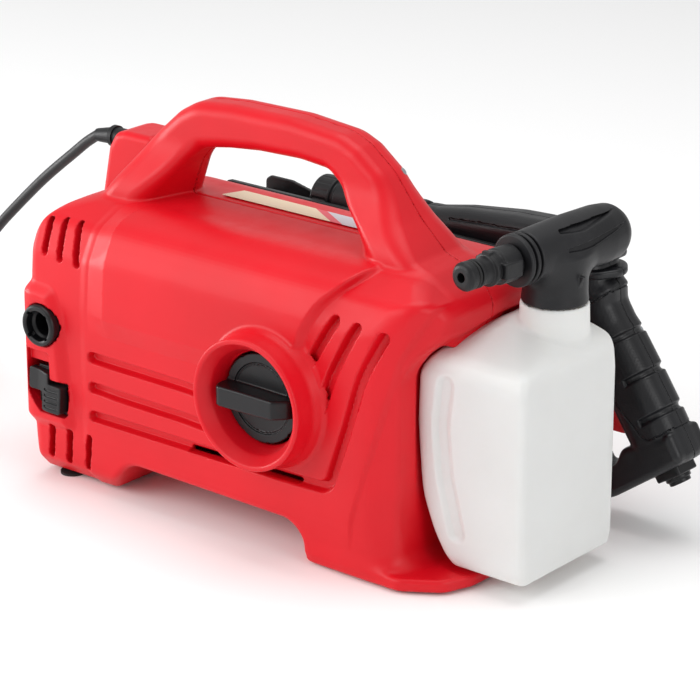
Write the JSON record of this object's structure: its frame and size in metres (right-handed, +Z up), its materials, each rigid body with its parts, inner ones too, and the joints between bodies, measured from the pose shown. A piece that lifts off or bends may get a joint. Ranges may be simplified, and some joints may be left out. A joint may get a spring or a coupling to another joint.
{
  "type": "pressure washer",
  "caption": "Compact electric pressure washer with a carrying handle, rotary switch, spray gun stored on the back and a foam bottle stored at one end.",
  "frame": {"origin": "middle of the footprint of the washer without its cord, on the floor", "axes": "+X along the casing towards the foam bottle, -Y towards the side with the switch, +Z up"},
  "size_m": [0.6804, 0.233, 0.248],
  "materials": {
    "red_shell": "fine moulded grain, semi-matt",
    "black_moulding": "moulded grain, satin",
    "bottle_wall": "translucent blown polyethylene, soft sheen",
    "trigger_red": "moulded, satin",
    "rubber": "matt",
    "cord_sheath": "smooth sheath",
    "cord_tie": "hook and loop strap",
    "steel": "bright",
    "cast_metal": "die cast",
    "brass": "turned",
    "copper": "wound copper",
    "motor_iron": "laminated and painted",
    "nylon": "natural nylon",
    "inner_plastic": "moulded",
    "label": "printed film, satin"
  },
  "bodies": {
    "washer": {"front_shell": "red_shell", "rear_shell": "red_shell", "shell_screws": "steel", "rubber_feet": "rubber", "roof_label": "label", "gun_cradle": "black_moulding", "switch_box": "inner_plastic", "outlet_coupler": "black_moulding", "outlet_seal": "rubber", "release_spring": "steel", "inlet_connector": "brass", "inlet_filter": "nylon", "inlet_pipe": "inner_plastic", "outlet_pipe": "steel", "stop_switch": "inner_plastic", "capacitor": "inner_plastic", "motor_can": "motor_iron", "field_winding": "copper", "motor_bearings": "steel", "carbon_brushes": "brass", "gear_case": "cast_metal", "pump_head": "cast_metal", "valve_plugs": "brass", "piston_springs": "steel", "strain_relief": "rubber", "power_cord": "cord_sheath", "cord_coil": "cord_sheath", "cord_tie": "cord_tie", "plug_body": "cord_sheath", "plug_pins": "steel"},
    "selector": {"switch_knob": "black_moulding", "switch_spindle": "nylon"},
    "latch": {"release_lever": "black_moulding"},
    "rotor": {"rotor_shaft": "steel", "rotor_core": "motor_iron", "commutator": "copper", "cooling_fan": "nylon", "drive_pinion": "steel"},
    "swash": {"drive_gear": "nylon", "swash_plate": "steel"},
    "plunger_1": {"piston_1": "steel"},
    "plunger_2": {"piston_2": "steel"},
    "plunger_3": {"piston_3": "steel"},
    "container": {"bottle": "bottle_wall"},
    "head": {"foam_head": "black_moulding", "head_stem": "black_moulding", "stem_seal": "rubber", "foam_insert": "nylon", "siphon_tube": "nylon"},
    "gun": {"gun_near_shell": "black_moulding", "gun_far_shell": "black_moulding", "gun_barrel": "black_moulding", "gun_inlet": "black_moulding", "gun_valve": "brass", "gun_screws": "steel", "trigger_pin": "steel"},
    "gun_trigger": {"trigger": "trigger_red"},
    "catch": {"trigger_lock": "black_moulding"}
  },
  "joints": [
    {"name": "knob_turn", "type": "hinge", "parent": "washer", "child": "selector", "pos_m": [0.01407, -0.086, 0.0995], "axis": [0, 1, 0], "range_deg": [0, 90]},
    {"name": "latch_press", "type": "slide", "parent": "washer", "child": "latch", "axis": [0, 0, -1], "range_m": [0, 0.004], "stiffness_N_per_m": 300, "springref_m": -0.003},
    {"name": "motor_spin", "type": "hinge", "parent": "washer", "child": "rotor", "pos_m": [-0.02443, -0.011, 0.10425], "axis": [1, 0, 0], "continuous": true},
    {"name": "swash_spin", "type": "hinge", "parent": "washer", "child": "swash", "pos_m": [-0.02443, -0.011, 0.078], "axis": [1, 0, 0], "continuous": true},
    {"name": "piston_1_stroke", "type": "slide", "parent": "washer", "child": "plunger_1", "axis": [-1, 0, 0], "range_m": [0, 0.006], "stiffness_N_per_m": 600, "springref_m": -0.003},
    {"name": "piston_2_stroke", "type": "slide", "parent": "washer", "child": "plunger_2", "axis": [-1, 0, 0], "range_m": [0, 0.006], "stiffness_N_per_m": 600, "springref_m": -0.003},
    {"name": "piston_3_stroke", "type": "slide", "parent": "washer", "child": "plunger_3", "axis": [-1, 0, 0], "range_m": [0, 0.006], "stiffness_N_per_m": 600, "springref_m": -0.003},
    {"name": "bottle_pull", "type": "slide", "parent": "washer", "child": "container", "axis": [1, 0, 0], "range_m": [0, 0.09]},
    {"name": "head_turn", "type": "hinge", "parent": "container", "child": "head", "pos_m": [0.14907, 0.011, 0.165], "axis": [0, 0, 1], "range_deg": [0, 35]},
    {"name": "gun_pull", "type": "slide", "parent": "washer", "child": "gun", "axis": [0, 1, 0], "range_m": [0, 0.12]},
    {"name": "trigger_pull", "type": "hinge", "parent": "gun", "child": "gun_trigger", "pos_m": [0.09847, 0.089, 0.12145], "axis": [0, -1, 0], "range_deg": [0, 10], "stiffness_Nm_per_rad": 0.2, "springref_deg": -11.46},
    {"name": "catch_swing", "type": "hinge", "parent": "gun_trigger", "child": "catch", "pos_m": [0.14378, 0.089, 0.06969], "axis": [0, -1, 0], "range_deg": [-50, 0]}
  ],
  "couplings": [
    {"joint": "swash_spin", "follows": "motor_spin", "ratio": -0.4}
  ]
}
